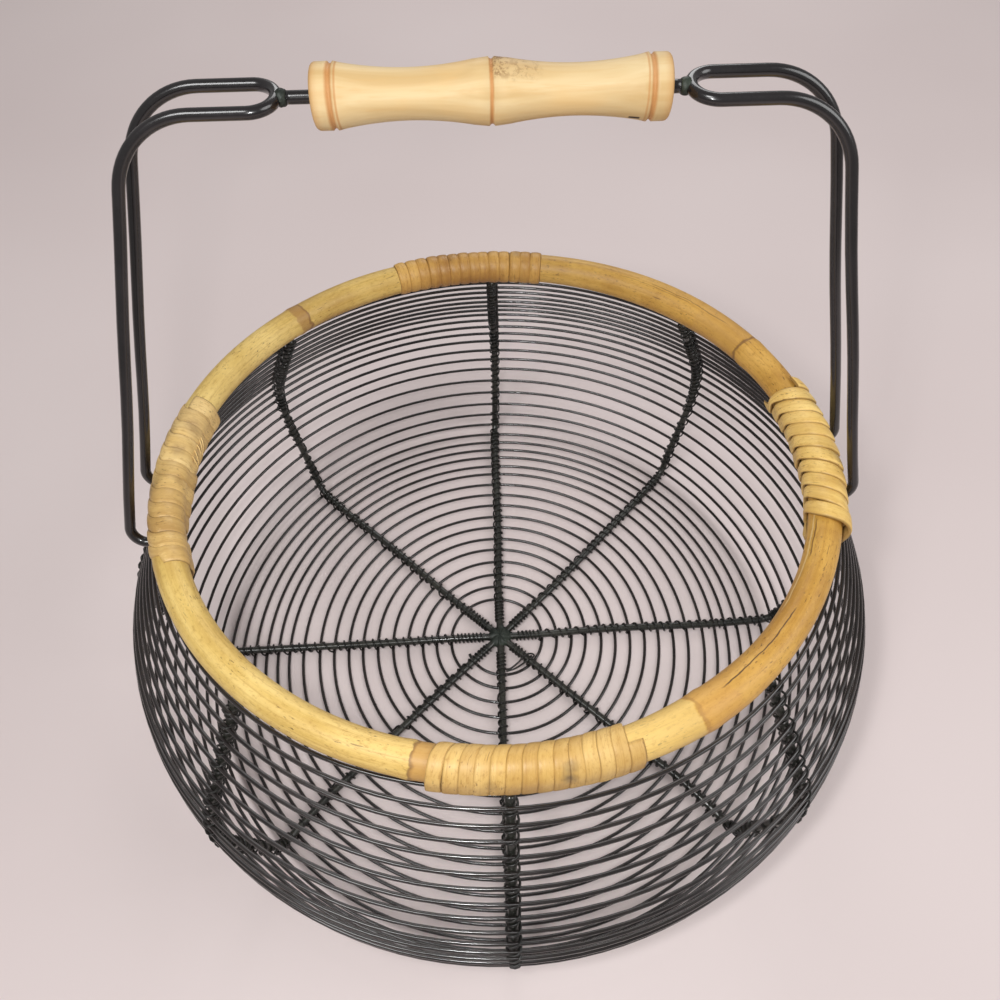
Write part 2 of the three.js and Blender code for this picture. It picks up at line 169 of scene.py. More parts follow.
def place(r, z, azimuth):
    """The plan is round at the foot and grows oval towards the rim."""
    oval = OVAL * z / RIM_HEIGHT
    return np.array([r * (1 + oval) * math.cos(azimuth), r * (1 - oval) * math.sin(azimuth), z])


def shell(along, azimuth, lift=0.0):
    """A point at a distance from the middle of the base, and the outward direction there."""
    passed = [part for part in STRETCHES if along >= part["start"]]
    stretch = passed[-1] if along > 0 else STRETCHES[0]
    r, z, slope = follow(stretch, along - stretch["start"])
    point = place(r + lift * math.sin(slope), z - lift * math.cos(slope), azimuth)
    out = np.array([
        math.sin(slope) * math.cos(azimuth),
        math.sin(slope) * math.sin(azimuth),
        -math.cos(slope),
    ])
    return point, out


def unit(v):
    return v / np.linalg.norm(v, axis=-1, keepdims=True)


def rim_point(azimuth):
    return shell(CANE_AT, azimuth)[0]


def rim_axes(azimuth):
    """Level directions at the rim: along it, and square to it outwards."""
    along = unit(rim_point(azimuth + SMALL_TURN) - rim_point(azimuth - SMALL_TURN))
    return along, np.array([along[1], -along[0], 0])


def round_cane(across, angle):
    """The direction at an angle round the cane, from its outer side over the top."""
    return across * math.cos(angle) + UP * math.sin(angle)


def rim_speed(azimuth):
    """Millimetres of rim for each radian."""
    return np.linalg.norm(rim_point(azimuth + SMALL_TURN) - rim_point(azimuth)) / SMALL_TURN


def bar_place(side):
    return LEFT_BAR_PLACE if side < 0 else RIGHT_BAR_PLACE


def rim_x(y):
    return rim_point(math.asin(y / rim_point(math.pi / 2)[1]))[0]


def bar_x(at):
    return (rim_x(at) + rim_x(abs(at) + LEG_SPREAD / 2)) / 2


BAR_DROP = CANE_HALF + CLEAR + ROD_HALF
BAR_HEIGHT = RIM_HEIGHT - BAR_DROP
WIRE_END_AT = CANE_AT - CANE_HALF - CLEAR - WIRE_RADIUS
TUCK_AT = CANE_AT - (BAR_DROP + ROD_HALF + CLEAR + WIRE_RADIUS) / math.sin(rad(NECK_SLOPE))
LEVEL_AT = WIRE_END_AT - TOP_SPACING
ZONES = [
    (0, BASE_PITCH),
    (EDGE_START, EDGE_PITCH),
    (WALL["start"], WALL_PITCH),
    (BELLY["start"], NECK_PITCH),
    (LEVEL_AT, (TUCK_AT - LEVEL_AT) * 360 / (360 - TUCK_ANGLE)),
    (TUCK_AT, (WIRE_END_AT - TUCK_AT) * 360 / TUCK_ANGLE),
]
RIB_TOP_AT = CANE_AT - (BAR_DROP + ROD_HALF + 3 * CLEAR + STRIP_THICKNESS + RIB / 4)


# Meshes


def wavy(seed, waves, low, high):
    """A smooth random function of one value, from -1 to 1 or so."""
    dice = random.Random(seed)
    parts = [(dice.uniform(low, high), dice.uniform(0, TURN)) for _ in range(waves)]
    return lambda x: sum(math.sin(f * x + p) for f, p in parts) / math.sqrt(waves)


def added(name, data):
    """A new object in the scene."""
    obj = bpy.data.objects.new(name, data)
    bpy.context.scene.collection.objects.link(obj)
    return obj


def piece(name, parts, look, replaces=(), body="basket", closed=False):
    """One object from rings: each part is an array of n rings of m points in mm.

    Its "grain" coordinates are metres along the piece and round it.
    """
    verts, faces, uvs, smooth = [], [], [], []
    for rings in parts:
        rings = np.asarray(rings, float)
        n, m = rings.shape[:2]
        base = len(verts)
        verts += list(rings.reshape(-1, 3) * MM)
        centres = rings.mean(1)
        ahead = np.roll(centres, -1, 0) if closed else centres[1:]
        lengths = np.linalg.norm(ahead - centres[: len(ahead)], axis=1) * MM
        u = np.concatenate([[0], np.cumsum(lengths)])
        girth = np.linalg.norm(np.roll(rings, -1, 1) - rings, axis=2).mean(0) * MM
        v = np.concatenate([[0], np.cumsum(girth)])
        for i in range(n if closed else n - 1):
            a, b = base + i * m, base + (i + 1) % n * m
            for j in range(m):
                k = (j + 1) % m
                faces.append((a + j, a + k, b + k, b + j))
                uvs += [(u[i], v[j]), (u[i], v[j + 1]), (u[i + 1], v[j + 1]), (u[i + 1], v[j])]
                smooth.append(True)
        if not closed:
            for ring, order in ((0, -1), (n - 1, 1)):
                faces.append([base + ring * m + j for j in range(m)][::order])
                uvs += [(u[ring], 0)] * m
                smooth.append(False)
    mesh = bpy.data.meshes.new(name)
    mesh.from_pydata(verts, [], faces)
    mesh.polygons.foreach_set("use_smooth", smooth)
    layer = mesh.uv_layers.new(name="grain")
    layer.data.foreach_set("uv", np.array(uvs).ravel())
    mesh.materials.append(look)
    mesh.update()
    obj = added(name, mesh)
    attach(obj, body)
    if replaces:
        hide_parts(*replaces)


def headings(points, closed=False):
    """The direction of travel at each point of a path."""
    points = np.asarray(points, float)
    if closed:
        return unit(np.roll(points, -1, 0) - np.roll(points, 1, 0))
    ahead = np.vstack([points[1:], points[-1:]])
    before = np.vstack([points[:1], points[:-1]])
    return unit(ahead - before)


def rings_round(points, radii, sides, ups=None, closed=False):
    """Round rings square to the travel, turned towards up vectors: given or carried along."""
    points = np.asarray(points, float)
    travel = headings(points, closed)
    ups = np.asarray(carried_ups(points, closed) if ups is None else ups, float)
    v = unit(ups - travel * (ups * travel).sum(1, keepdims=True))
    u = np.cross(v, travel)
    radii = np.broadcast_to(np.asarray(radii, float), (len(points),))
    angle = TURN * np.arange(sides) / sides
    return (points[:, None]
            + radii[:, None, None] * (u[:, None] * np.cos(angle)[None, :, None]
                                      + v[:, None] * np.sin(angle)[None, :, None]))


def carried_ups(points, closed=False):
    """Up vectors carried along a path with as little twist as can be."""
    travel = headings(points, closed)
    up = UP - travel[0] * travel[0][2]
    if np.linalg.norm(up) < 1e-6:
        up = np.array([1.0, 0, 0]) - travel[0] * travel[0][0]
    ups = [unit(up)]
    for i in range(1, len(points) + (1 if closed else 0)):
        q = Vector(travel[i - 1]).rotation_difference(Vector(travel[i % len(points)]))
        ups.append(np.array(q @ Vector(ups[-1])))
    if closed:
        end = ups.pop()
        sign = np.sign(np.cross(ups[0], end).dot(travel[0])) or 1
        twist = -sign * Vector(ups[0]).angle(Vector(end))
        ups = [np.array(Matrix.Rotation(twist * i / len(points), 3, Vector(t)) @ Vector(up))
               for i, (up, t) in enumerate(zip(ups, travel))]
    return ups


END_STEPS = 3
END_LENGTH = 0.6
END_TIP = 0.12


def rounded_ends(points, radius):
    """A path and radii with rounded ends added to both of its ends."""
    points = [np.asarray(p, float) for p in points]
    first, last = unit(points[0] - points[1]), unit(points[-1] - points[-2])
    angles = [math.pi / 2 * k / END_STEPS for k in range(1, END_STEPS + 1)]
    head = [points[0] + first * radius * END_LENGTH * math.sin(a) for a in reversed(angles)]
    tail = [points[-1] + last * radius * END_LENGTH * math.sin(a) for a in angles]
    ends = [radius * max(math.cos(a), END_TIP) for a in angles]
    return head + points + tail, ends[::-1] + [radius] * len(points) + ends


def curve(stops, per=6):
    """A smooth path through a few stops."""
    stops = np.asarray(stops, float)
    padded = np.vstack([2 * stops[0] - stops[1], stops, 2 * stops[-1] - stops[-2]])
    path = []
    for p0, p1, p2, p3 in zip(padded, padded[1:], padded[2:], padded[3:]):
        for k in range(per):
            t = k / per
            path.append(0.5 * (2 * p1 + (p2 - p0) * t + (2 * p0 - 5 * p1 + 4 * p2 - p3) * t * t
                               + (3 * p1 - p0 - 3 * p2 + p3) * t ** 3))
    return path + [stops[-1]]


# Materials


class Look:
    """A node material, built one node at a time."""

    def __init__(self, name, **sockets):
        self.material = bpy.data.materials.new(name)
        self.material.use_nodes = True
        self.tree = self.material.node_tree
        self.shader = self.tree.nodes["Principled BSDF"]
        for socket, value in sockets.items():
            self.shader.inputs[socket.replace("_", " ")].default_value = value

    def node(self, kind, inputs=(), **settings):
        node = self.tree.nodes.new("ShaderNode" + kind)
        for key, value in settings.items():
            setattr(node, key, value)
        for socket, value in dict(inputs).items():
            self.put(node.inputs[socket], value)
        return node

    def put(self, socket, value):
        if isinstance(value, bpy.types.NodeSocket):
            self.tree.links.new(value, socket)
        else:
            socket.default_value = (*value, 1) if socket.type == "RGBA" else value

    def math(self, operation, a, b=0.0):
        return self.node("Math", {0: a, 1: b}, operation=operation).outputs[0]

    def times(self, a, b):
        return self.math("MULTIPLY", a, b)

    def split(self, vector):
        return self.node("SeparateXYZ", {0: vector}).outputs

    def scaled(self, vector, scale):
        return self.node("Mapping", {"Vector": vector, "Scale": scale}).outputs[0]

    def grain(self, along, around):
        """The place along a piece and round it, in metres, times a scale for each."""
        uv = self.node("UVMap", uv_map="grain").outputs[0]
        return self.scaled(uv, (along, around, 1))

    def object(self, *scale):
        """The place in space, in metres, times one scale or one for each axis."""
        scale = scale * 3 if len(scale) == 1 else scale
        return self.scaled(self.node("TexCoord").outputs["Object"], scale)

    def noise(self, vector, detail=2.0, roughness=0.5, distortion=0.0):
        return self.node("TexNoise", {
            "Vector": vector, "Scale": 1, "Detail": detail, "Roughness": roughness,
            "Distortion": distortion}).outputs["Fac"]

    def wander(self, noise, reach):
        """A noise as a value that wanders round zero."""
        return self.times(self.math("SUBTRACT", noise, 0.5), reach)

    def between(self, value, low, high, out_low=0.0, out_high=1.0):
        """A soft step from one value to another, while the input goes from low to high."""
        return self.node("MapRange", {
            "Value": value, "From Min": low, "From Max": high, "To Min": out_low,
            "To Max": out_high}, interpolation_type="SMOOTHSTEP").outputs[0]

    def band(self, value, centre, half, soft):
        """1 within "half" of the centre, falling to 0 over "soft"."""
        off = self.math("ABSOLUTE", self.math("SUBTRACT", value, centre))
        return self.between(off, half, half + soft, 1, 0)

    def ramp(self, value, stops):
        node = self.node("ValToRGB", {"Fac": value})
        while len(node.color_ramp.elements) < len(stops):
            node.color_ramp.elements.new(0.5)
        for element, (at, colour) in zip(node.color_ramp.elements, stops):
            element.position = at
            element.color = (*colour, 1)
        return node.outputs[0]

    def mix(self, factor, a, b, blend="MIX"):
        return self.node("Mix", {0: factor, 6: a, 7: b}, data_type="RGBA",
                         blend_type=blend).outputs[2]

    def tint(self, colour, mask, amount, tone):
        """The colour with a tone laid over it where the mask is 1."""
        return self.mix(self.times(mask, amount), colour, tone)

    def bump(self, height, distance, strength):
        return self.node("Bump", {
            "Height": height, "Distance": distance, "Strength": strength}).outputs[0]

    def finish(self, colour, roughness=None, normal=None):
        for socket, value in (("Base Color", colour), ("Roughness", roughness), ("Normal", normal)):
            if value is not None:
                self.put(self.shader.inputs[socket], value)
        return self.material


def srgb(r, g, b):
    """A colour as written for a screen, 0 to 255, as the linear values that nodes hold."""
    return tuple(((c / 255 + 0.055) / 1.055) ** 2.4 if c > 10 else c / 255 / 12.92
                 for c in (r, g, b))


def steel_look(name, dark, light, roughness, speckle, pits, metal, gloss, shine=0.5, patchy=0.08):
    """Blackened steel: uneven tone, small worn specks, fine pits and patchy roughness."""
    look = Look(name, Metallic=metal, Coat_Weight=gloss, Coat_Roughness=0.12,
                Specular_IOR_Level=shine)
    slow = look.noise(look.object(55), 3, 0.6)
    fine = look.noise(look.object(900), 2, 0.6)
    tone = look.ramp(look.between(slow, 0.3, 0.7), [(0, dark), (1, light)])
    worn_tone = tuple(min(1, 2.6 * c + 0.01) for c in light)
    colour = look.mix(look.between(fine, 0.62, 0.74, 0, speckle), tone, worn_tone)
    rough = look.between(fine, 0.3, 0.7, roughness - 0.75 * patchy, roughness + patchy)
    return look.finish(colour, rough, look.bump(fine, 0.00006, pits))


def cane_look(name, colours, browner=None, along=1.0, marks=True, fibres=0.3):
    """Cane skin: long fibres, slow patches of colour, small dark specks and short scratches.

    The colours are pale, mid, deep and speck. "browner" is a stretch along X, from and to, and the
    tint that comes in over it. Returns the finished look and its colour, for more to be laid over.
    """
    pale, mid, deep, speck = colours
    look = Look(name, Coat_Weight=0.12, Coat_Roughness=0.35)
    fibre = look.noise(look.grain(22 * along, 1300), 3, 0.6)
    streak = look.noise(look.grain(7 * along, 260), 2, 0.5)
    patch = look.noise(look.object(26), 3, 0.55)
    tone = look.math("ADD", look.times(streak, 0.3), look.times(patch, 0.7))
    colour = look.ramp(tone, [(0.36, deep), (0.5, mid), (0.63, pale)])
    colour = look.mix(look.between(fibre, 0.5, 0.72, 0, fibres), colour, deep)
    mottle = look.noise(look.grain(380, 800), 5, 0.75)
    colour = look.mix(look.between(mottle, 0.5, 0.66, 0, 0.62), colour, deep)
    colour = look.mix(look.between(mottle, 0.46, 0.32, 0, 0.4), colour, pale)
    dots = look.noise(look.grain(420, 1300), 3, 0.6)
    where = look.noise(look.object(60), 2, 0.5)
    dotted = look.times(look.between(dots, 0.6, 0.67), look.between(where, 0.42, 0.6))
    colour = look.tint(colour, dotted, 0.75, speck)
    if marks:
        scratch = look.noise(look.grain(90, 1300), 1, 0.4)
        colour = look.mix(look.between(scratch, 0.74, 0.79, 0, 0.6), colour, speck)
    if browner:
        start, end, tint = browner
        x = look.split(look.object(1))[0]
        colour = look.mix(look.between(x, start, end), colour, tint, "MULTIPLY")
    look.finish(colour, look.between(patch, 0.3, 0.7, 0.42, 0.6), look.bump(fibre, 0.0003, 0.35))
    return look, colour


wire_black = steel_look(
    "wire_black", srgb(25, 21, 20), srgb(42, 37, 35),
    roughness=0.18, patchy=0.02, speckle=0.1, pits=0.02, metal=0, gloss=0.6)
rib_black = steel_look(
    "rib_black", srgb(32, 33, 29), srgb(56, 56, 50),
    roughness=0.3, speckle=0.3, pits=0.2, metal=0.2, gloss=0.5)
lashing_black = steel_look(
    "lashing_black", srgb(20, 20, 18), srgb(38, 36, 33),
    roughness=0.35, speckle=0.2, pits=0.1, metal=0.1, gloss=0.3, shine=0.35)
handle_black = steel_look(
    "handle_black", srgb(19, 17, 17), srgb(31, 28, 29),
    roughness=0.24, patchy=0.03, speckle=0.05, pits=0.02, metal=0, gloss=0.6)
weld_green = steel_look(
    "weld_green", srgb(26, 31, 27), srgb(54, 62, 53),
    roughness=0.5, speckle=0.5, pits=0.6, metal=0.1, gloss=0, shine=0.4)


# Spiral

SPIRAL_STEP = rad(3)
SPIRAL_RADIUS = 0.535 * WIRE  # a little more than half the stock, as the wire looks in the photo
UNEVEN_BY = 0.28
DRIFT_BY = 0.2
CALM_OVER = 20


def spiral_samples():
    """Distances along the shell and azimuths of the wire, worked back from its outer end."""
    samples = []
    along, azimuth = WIRE_END_AT, rad(END_AZIMUTH)
    while along > HUB_RADIUS:
        samples.append((along, azimuth))
        pitch = [p for start, p in ZONES if along > start][-1]
        azimuth -= SPIRAL_STEP
        along -= pitch * SPIRAL_STEP / TURN
    return samples[::-1]


samples = spiral_samples()
uneven = wavy(3, 9, 0.4, 2.6)
drift = wavy(4, 5, 0.05, 0.3)


def laid(along, azimuth):
    """Where the wire really lies: a little off its even place, but not at its tucked end."""
    calm = min(1, max(0, (WIRE_END_AT - along) / CALM_OVER))
    return along + calm * (UNEVEN_BY * uneven(azimuth) + DRIFT_BY * drift(azimuth))


def spiral():
    points, outs = zip(*(shell(laid(along, azimuth), azimuth) for along, azimuth in samples))
    rings = rings_round(points, SPIRAL_RADIUS, 8, outs)
    piece("spiral_wire", [rings], wire_black, ["base_spiral", "wall_spiral"])


def crossings(azimuth):
    """Where along the shell the wire passes an azimuth, one value for each turn."""
    found = []
    for (a0, z0), (a1, z1) in zip(samples, samples[1:]):
        target = azimuth + math.ceil((z0 - azimuth) / TURN) * TURN
        if z0 <= target < z1:
            at = a0 + (a1 - a0) * ((target - z0) / (z1 - z0))
            found.append(laid(at, target))
    return found


spiral()


# Ribs, and the thin wire that binds each turn to them

RIB_LIFT = -(WIRE / 2 + RIB / 2)
RIB_FROM = 4
RIB_TO = RIB_TOP_AT - 0.6
RIB_STEPS = 150
RIB_LEANS = {  # degrees that the wall part of a rib leans over
    "rib_front_left": 2,
    "rib_front_right": -2,
    "rib_back_left": -1.2,
    "rib_back_right": 1.2,
}
LEAN_FROM = 105
LEAN_OVER = 45

LASH_SINK = 0.05
LASH_SIDE = RIB / 2 + LASHING / 2 - LASH_SINK
LASH_OUTER = WIRE / 2 + LASHING / 2
LASH_INNER = RIB_LIFT - RIB / 2 - LASHING / 2 + LASH_SINK
LASH_BETWEEN = RIB_LIFT + RIB / 2 + LASHING / 2
LASH_FROM = 8
LASH_PITCH = 1.9
LASH_STEPS = 12
LASH_BETWEEN_SHARE = 0.75


def rib_line(name, seed):
    """The azimuth of a rib at each distance from the hub: a hand-bent rod isn't quite straight."""
    azimuth, lean = rad(RIB_AZIMUTHS[name]), rad(RIB_LEANS.get(name, 0))
    sway = wavy(seed, 4, 0.01, 0.06)

    def line(s):
        leaning = min(max((s - LEAN_FROM) / LEAN_OVER, 0), 1) ** 1.2
        return azimuth + 0.5 * sway(s) / max(s, 40) + lean * leaning

    return line


def rib(name, line):
    distances = np.linspace(RIB_FROM, RIB_TO, RIB_STEPS)
    points, outs = zip(*(shell(s, line(s), RIB_LIFT) for s in distances))
    points, radii = rounded_ends(points, RIB / 2)
    outs = [outs[0]] * END_STEPS + list(outs) + [outs[-1]] * END_STEPS
    rings = rings_round(points, radii, 12, outs)
    piece(name + "_rod", [rings], rib_black, [name])


def lashing_turns(azimuth, dice):
    """Distances and heights of the turns: tight by the hub, then over crossings and between."""
    crossed = [at for at in crossings(azimuth) if LASH_FROM + 1 < at < RIB_TOP_AT + 1]
    tight = np.arange(LASH_FROM + dice.uniform(0, 1), crossed[0] - 1.5, LASH_PITCH)
    turns = [(at, LASH_BETWEEN) for at in tight]
    for at, after in zip(crossed, crossed[1:] + [crossed[-1] + 5]):
        turns.append((at, LASH_OUTER))
        if dice.random() < LASH_BETWEEN_SHARE:
            turns.append(((at + after) / 2 + dice.uniform(-0.6, 0.6), LASH_BETWEEN))
    return turns


def lashing(azimuth, line, seed):
    """Rings of the thin wire round one rib, squarish where it lies over rib and spiral."""
    dice = random.Random(seed)
    turns = lashing_turns(azimuth, dice)
    tangent = np.array([-math.sin(azimuth), math.cos(azimuth), 0])
    path = []
    for (at, outer), (after, _) in zip(turns, turns[1:]):
        middle, tall = (outer + LASH_INNER) / 2, (outer - LASH_INNER) / 2
        lean = dice.uniform(-0.25, 0.25)
        wide = LASH_SIDE + (dice.uniform(0.1, 0.4) if outer == LASH_OUTER else 0)
        quarter = (after - at) / 4
        for step in range(LASH_STEPS):
            turn = TURN * step / LASH_STEPS
            s = at + lean * math.sin(turn) + (after - at) * step / LASH_STEPS - quarter
            side = -math.copysign(abs(math.cos(turn)) ** 0.75, math.cos(turn)) * wide
            up = middle + math.copysign(abs(math.sin(turn)) ** 0.85, math.sin(turn)) * tall
            point = shell(s, line(s), up)[0] + tangent * side
            point[2] = max(point[2], LASHING / 2 - 0.1)
            path.append(point)
    return rings_round(path, LASHING / 2, 6)


for seed, (name, azimuth) in enumerate(RIB_AZIMUTHS.items()):
    line = rib_line(name, 20 + seed)
    rib(name, line)
    rings = lashing(rad(azimuth), line, 40 + seed)
    piece(name.replace("rib", "lashing"), [rings], lashing_black)


# Hub

HUB_MIDDLE = 3.05
HUB_TALL = 2.2
HUB_SHARE = 0.88


def hub():
    """The weld at the hub: a lumpy star over the ribs' inner ends."""
    lumps = wavy(9, 6, 1.5, 7)
    rings = []
    count, sides = 12, 64
    for i in range(count + 1):
        part = i / count
        ring = []
        for j in range(sides):
            azimuth = TURN * j / sides
            arm = max(math.cos(azimuth - rad(other)) for other in RIB_AZIMUTHS.values())
            star = 0.95 + 0.3 * max(0, (arm - 0.93) / 0.07) ** 1.5
            lump = 1 + 0.11 * lumps(azimuth * 3 + part * 4)
            reach = HUB_SHARE * HUB_WELD_RADIUS * star * lump
            r = reach * max(math.sin(math.pi * min(max(part, 0.02), 0.98)), 0.04) ** 0.8
            uneven_top = 1 + 0.12 * lumps(azimuth * 2 + 2 * part)
            z = HUB_MIDDLE - HUB_TALL * math.cos(math.pi * part) * uneven_top
            ring.append((r * math.cos(azimuth), r * math.sin(azimuth), z))
        rings.append(ring)
    piece("hub_blob", [rings], weld_green, ["hub_weld"])


def wire_tail():
    """A wire's end by the hub: from the front rib over the next one, hooked and doubled back."""
    front, right = RIB_AZIMUTHS["rib_front"], RIB_AZIMUTHS["rib_front_right"]
    high = WIRE_OUT + WIRE / 2 + RIB + LASHING
    stops = [  # distance from the middle, azimuth, height
        (17, front + 3, 1.6), (17.4, front + 15, 2.4), (16.8, right - 17, 4.2),
        (16.6, right - 8, high), (17.2, right + 2, high + 0.4), (18.6, right + 8, high - 0.6),
        (19.8, right + 8, high - 1.4), (20, right + 3, high), (19.2, right - 5, high),
        (18.6, right - 15, 4), (18.2, front + 20, 2.2), (18, front + 8, 1.4),
    ]
    path = curve([(r * math.cos(rad(a)), r * math.sin(rad(a)), z) for r, a, z in stops])
    points, radii = rounded_ends(path, LASHING / 2)
    piece("spiral_tail", [rings_round(points, radii, 8)], lashing_black)


hub()
wire_tail()


# Cane rim

RIM_FROM = rad(272)
RIM_STEPS = 300
RIM_SIDES = 24
CANE_COLOURS = (srgb(230, 200, 124), srgb(211, 178, 98), srgb(176, 138, 66), srgb(88, 60, 28))
STRAW_TO_HONEY = (-0.09, 0.1, srgb(248, 226, 190))
THICKER = [  # azimuth, reach in degrees, share
    (302, 12, 0.12),
    (55, 24, 0.1),
    (118, 12, 0.05),
    (222, 22, -0.02),
]

# The cane's own joints: azimuth, and how dark the ring round the cane is there
CANE_JOINTS = {28: 0.8, 133.8: 0.8, 256.2: 0.8, 300.5: 0.4}
JOINT_SWELL = 0.3
JOINT_REACH = 0.9
JOINT_BROWN = srgb(120, 82, 42)

# Stretches of another tone: azimuth from and to, tone and strength
TONES = [
    (-103.8, -98.5, srgb(186, 138, 72), 0.75),
    (133.8, 136.5, srgb(150, 102, 52), 0.6),
    (-76, -59.9, srgb(236, 210, 134), 0.35),
    (-59.7, -53, srgb(192, 136, 70), 0.25),
    (-59.7, -47, srgb(196, 144, 76), 0.15),
    (28.5, 40, srgb(198, 152, 78), 0.45),
]

# Cracks, and a pale streak that is a painted highlight, along the cane: azimuth from and to, angle
# round the cane from its outer side, half width in degrees, tone and strength
CRACK = srgb(74, 48, 24)
CRACKS_AND_PAINTED_HIGHLIGHT = [
    (-55, -34, 105, 1.1, CRACK, 0.9),
    (-25, -15, 134, 1.6, CRACK, 0.7),
    # A painted highlight: a pale streak on the cane's inner upper side
    (-36, -12, 146, 2.4, srgb(240, 216, 156), 0.45),
    (33, 53, 99, 0.9, CRACK, 0.55),
    (42, 60, 108, 0.4, CRACK, 0.4),
    (60, 74, 92, 0.3, CRACK, 0.3),
]


def degrees_off(azimuth, at):
    return (azimuth - at + 180) % 360 - 180


def cane_radius(azimuth):
    """The cane is a grown rod: thicker on the right and at the back than on the left."""
    degrees = math.degrees(azimuth)
    more = sum(share * math.exp(-((degrees_off(degrees, at) / reach) ** 2))
               for at, reach, share in THICKER)
    return CANE / 2 * (1 + more)


def rim():
    thick = wavy(12, 6, 2, 9)
    lean = wavy(13, 5, 2, 6)
    rings = []
    for i in range(RIM_STEPS):
        azimuth = RIM_FROM + TURN * i / RIM_STEPS
        _, across = rim_axes(azimuth)
        centre = rim_point(azimuth) + across * 0.25 * lean(azimuth)
        radius = cane_radius(azimuth) * (1 + 0.012 * thick(azimuth))
        for joint in CANE_JOINTS:
            off = degrees_off(math.degrees(azimuth), joint)
            radius += JOINT_SWELL * math.exp(-((off / JOINT_REACH) ** 2))
        rings.append([centre + radius * round_cane(across, TURN * j / RIM_SIDES)
                      for j in range(RIM_SIDES)])
    look, colour = cane_look("cane_skin", CANE_COLOURS, browner=STRAW_TO_HONEY, fibres=0.5)
    look.finish(rim_marks(look, colour))
    piece("cane_hoop", [rings], look.material, ["rim_cane"], closed=True)


def rim_marks(look, colour):
    """Joints, stretches of another tone, cracks and a painted highlight streak, placed by azimuth
    on the rim.
    """
    x, y, _ = look.split(look.object(1))
    azimuth = look.math("DEGREES", look.math("ARCTAN2", y, x))
    azimuth = look.math("ADD", azimuth, look.wander(look.noise(look.object(300), 2), 1.6))
    for joint, strength in CANE_JOINTS.items():
        ring = look.band(azimuth, degrees_off(joint, 0), 0.12, 0.35)
        colour = look.tint(colour, ring, strength, JOINT_BROWN)
    for low, high, tone, strength in TONES:
        spot = look.band(azimuth, (low + high) / 2, (high - low) / 2 - 0.3, 0.5)
        colour = look.tint(colour, spot, strength, tone)
    girth = TURN * np.mean([cane_radius(rad(a)) for a in range(360)]) * MM
    around = look.split(look.grain(1, 360 / girth))[1]
    around = look.math("ADD", around, look.wander(look.noise(look.object(110), 3), 22))
    # Dark cracks, and one pale streak that is a painted highlight
    for low, high, angle, half, tone, strength in CRACKS_AND_PAINTED_HIGHLIGHT:
        span = look.band(azimuth, (low + high) / 2, (high - low) / 2 - 2, 2)
        line = look.band(around, angle, half, 1.7)
        colour = look.tint(colour, look.times(span, line), strength, tone)
    return colour


rim()


# Strip windings

# Azimuths it lies between, azimuth of its middle, and side whose crossbar it holds (0: none)
WRAPS = {
    "wrap_back": ([79.2, 109.5], math.pi / 2, 0),
    "wrap_front": ([259.5, 289], 1.5 * math.pi, 0),
    "wrap_left": ([163.2, 200.5], math.pi, -1),
    "wrap_right": ([-16.5, 19.2], 0, 1),
}
STEP_FROM = 80
STEP_TO = 230
STRIP_STEPS = 36
STRIP_POINTS = 9
WIDEST_HALF = 4.2
STRIP_DEPTH = 0.4
SOFT = 0.5
GATE_ANGLE = -60  # round the cane, where the turns lie in their gates


def strip_places(ends, middle, side):
    """The azimuths of the turns below the rim, evenly between the gates that the bar leaves."""
    reach = ROD_HALF + CLEAR + STRIP_WIDTH / 2
    inner = reach + FOOT_BEND / 2
    speed = rim_speed(middle)
    low = (rad(ends[0]) - middle) * speed + STRIP_WIDTH / 2
    high = (rad(ends[1]) - middle) * speed - STRIP_WIDTH / 2
    first, second = (side * bar_place(side) + foot for foot in (-LEG_SPREAD / 2, LEG_SPREAD / 2))
    gates = [first - reach, first + inner, second - inner, second + reach] if side else []
    edges = [low, *gates, high]
    places = []
    for a, b in zip(edges[::2], edges[1::2]):
        count = math.floor((b - a) / (STRIP_WIDTH + STRIP_GAP))
        for k in range(count + 1):
            places.append(middle + (a + ((b - a) * k / count if count else (b - a) / 2)) / speed)
    return places


def eased(part):
    part = min(max(part, 0), 1)
    return part * part * (3 - 2 * part)


def held_point(name, azimuth):
    """The centre of what a winding holds below the cane: nothing more, the wire or the crossbar."""
    if name == "wrap_back":
        return rim_point(azimuth)
    if name == "wrap_front":
        return shell(WIRE_END_AT, azimuth)[0]
    side = WRAPS[name][2]
    point = rim_point(azimuth) * [1, 1, 0] + [0, 0, BAR_HEIGHT]
    if abs(point[1] - bar_place(side)) < LEG_SPREAD / 2 + STRIP_WIDTH:
        point[0] = side * bar_x(bar_place(side))
    return point


